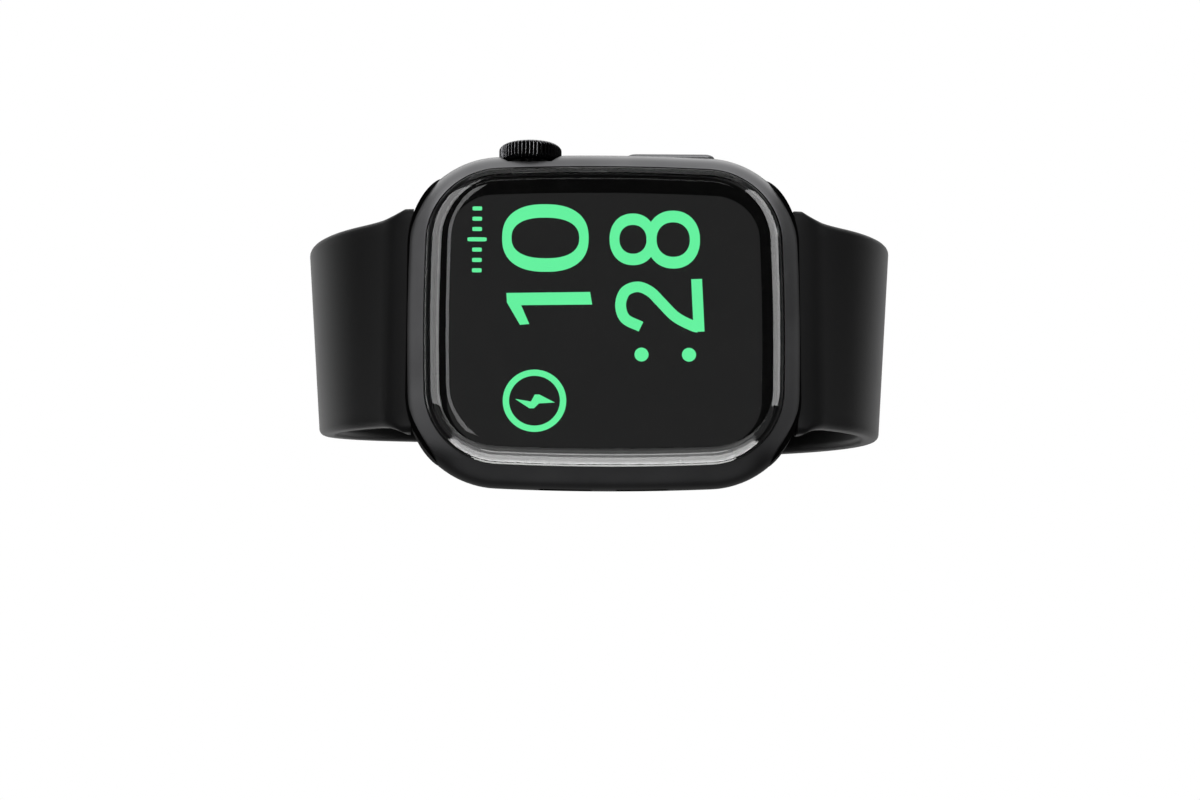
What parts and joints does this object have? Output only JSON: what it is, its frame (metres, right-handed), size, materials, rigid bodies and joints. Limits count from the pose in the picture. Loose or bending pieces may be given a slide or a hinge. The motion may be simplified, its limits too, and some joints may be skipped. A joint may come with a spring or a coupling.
{
  "type": "smartwatch",
  "caption": "Rounded rectangular smartwatch with a lit display, a knurled crown, a side button and a closed pin-and-tuck elastomer band, standing on its side.",
  "frame": {"origin": "bottom centre of the bounding box, with the lower side of the case at z = 0", "axes": "+X towards 6 o'clock of the dial, -Y where the display faces, +Z towards the crown side, which is up; the band's loop turns about Z"},
  "size_m": [0.0689, 0.0579, 0.0391],
  "materials": {
    "case_aluminium": "bead-blasted, dark anodised",
    "crystal_glass": "polished, strengthened",
    "mask_ink": "printed black",
    "display_oled": "laminated, lit",
    "flex_polyimide": "copper on polyimide",
    "seal_rubber": "moulded",
    "battery_foil": "laminated pouch",
    "board_laminate": "solder-masked",
    "module_resin": "moulded epoxy",
    "screw_steel": "cut",
    "haptic_steel": "pressed and brushed",
    "spring_steel": "spring-tempered",
    "tungsten": "sintered",
    "nylon_black": "moulded, glass-filled",
    "mesh_steel": "woven, blackened",
    "crown_aluminium": "knurled, dark anodised",
    "cap_ceramic": "polished",
    "bushing_steel": "turned",
    "switch_steel": "pressed",
    "back_ceramic": "polished",
    "window_crystal": "polished sapphire",
    "electrode_metal": "dark coated",
    "baffle_resin": "moulded",
    "led_resin": "cast",
    "diode_silicon": "coated silicon",
    "coil_copper": "wound enamelled copper",
    "ferrite": "sintered",
    "magnet_nickel": "nickel plated",
    "strap_elastomer": "moulded fluoroelastomer",
    "stud_metal": "dark coated steel"
  },
  "bodies": {
    "case": {"case_shell": "case_aluminium", "front_crystal": "crystal_glass", "display_mask": "mask_ink", "display_panel": "display_oled", "display_flex": "flex_polyimide", "front_seal": "seal_rubber", "battery": "battery_foil", "main_board": "board_laminate", "processor_module": "module_resin", "chassis_screws": "screw_steel", "haptic_housing": "haptic_steel", "haptic_spring_lower": "spring_steel", "haptic_spring_upper": "spring_steel", "speaker_module": "nylon_black", "speaker_grilles": "mesh_steel", "microphone": "haptic_steel", "crown_bushing": "bushing_steel", "crown_oring": "seal_rubber", "crown_switch": "switch_steel", "crown_encoder": "module_resin", "side_button_seals": "seal_rubber", "side_button_switch": "switch_steel", "back_cover": "back_ceramic", "back_seal": "seal_rubber", "electrode_ring": "electrode_metal", "sensor_window": "window_crystal", "light_baffle": "baffle_resin", "sensor_board": "board_laminate", "sensor_leds": "led_resin", "photodiodes": "diode_silicon", "charging_coil": "coil_copper", "coil_ferrite": "ferrite", "alignment_magnet": "magnet_nickel"},
    "haptic_mover": {"haptic_mass": "tungsten"},
    "crown_slider": {"crown_shear_plate": "bushing_steel"},
    "crown": {"crown_knob": "crown_aluminium", "crown_ring": "seal_rubber", "crown_cap": "cap_ceramic", "crown_shaft": "bushing_steel", "crown_clip": "spring_steel"},
    "side_button": {"side_button_cap": "case_aluminium", "side_button_posts": "bushing_steel", "side_button_bridge": "switch_steel"},
    "release_12": {"release_button_12": "case_aluminium"},
    "release_6": {"release_button_6": "case_aluminium"},
    "band_12": {"strap_12": "strap_elastomer", "lug_rail_12": "nylon_black", "latch_12": "switch_steel", "latch_springs_12": "spring_steel"},
    "band_6": {"strap_6": "strap_elastomer", "lug_rail_6": "nylon_black", "latch_6": "switch_steel", "latch_springs_6": "spring_steel", "band_stud": "stud_metal"}
  },
  "joints": [
    {"name": "crown_press", "type": "slide", "parent": "case", "child": "crown_slider", "axis": [0, 0, -1], "range_m": [0, 0.00035], "stiffness_N_per_m": 2000, "springref_m": -0.0003},
    {"name": "crown_turn", "type": "hinge", "parent": "crown_slider", "child": "crown", "pos_m": [-0.0082, -0.0236, 0.038], "axis": [0, 0, 1], "continuous": true},
    {"name": "side_button_press", "type": "slide", "parent": "case", "child": "side_button", "axis": [0, 0, -1], "range_m": [0, 0.0003], "stiffness_N_per_m": 2000, "springref_m": -0.0003},
    {"name": "release_12_press", "type": "slide", "parent": "case", "child": "release_12", "axis": [0, -1, 0], "range_m": [0, 0.0007], "stiffness_N_per_m": 600, "springref_m": -0.0003},
    {"name": "release_6_press", "type": "slide", "parent": "case", "child": "release_6", "axis": [0, -1, 0], "range_m": [0, 0.0007], "stiffness_N_per_m": 600, "springref_m": -0.0003},
    {"name": "band_12_slide", "type": "slide", "parent": "case", "child": "band_12", "axis": [0, 0, 1], "range_m": [0, 0.034]},
    {"name": "band_6_slide", "type": "slide", "parent": "case", "child": "band_6", "axis": [0, 0, 1], "range_m": [0, 0.034]},
    {"name": "haptic_shuttle", "type": "slide", "parent": "case", "child": "haptic_mover", "axis": [0, 0, 1], "range_m": [-0.0005, 0.0005], "stiffness_N_per_m": 2000, "deforming": ["haptic_spring_lower", "haptic_spring_upper"]}
  ],
  "couplings": [
    {"joint": "band_6_slide", "follows": "band_12_slide", "ratio": 1}
  ]
}
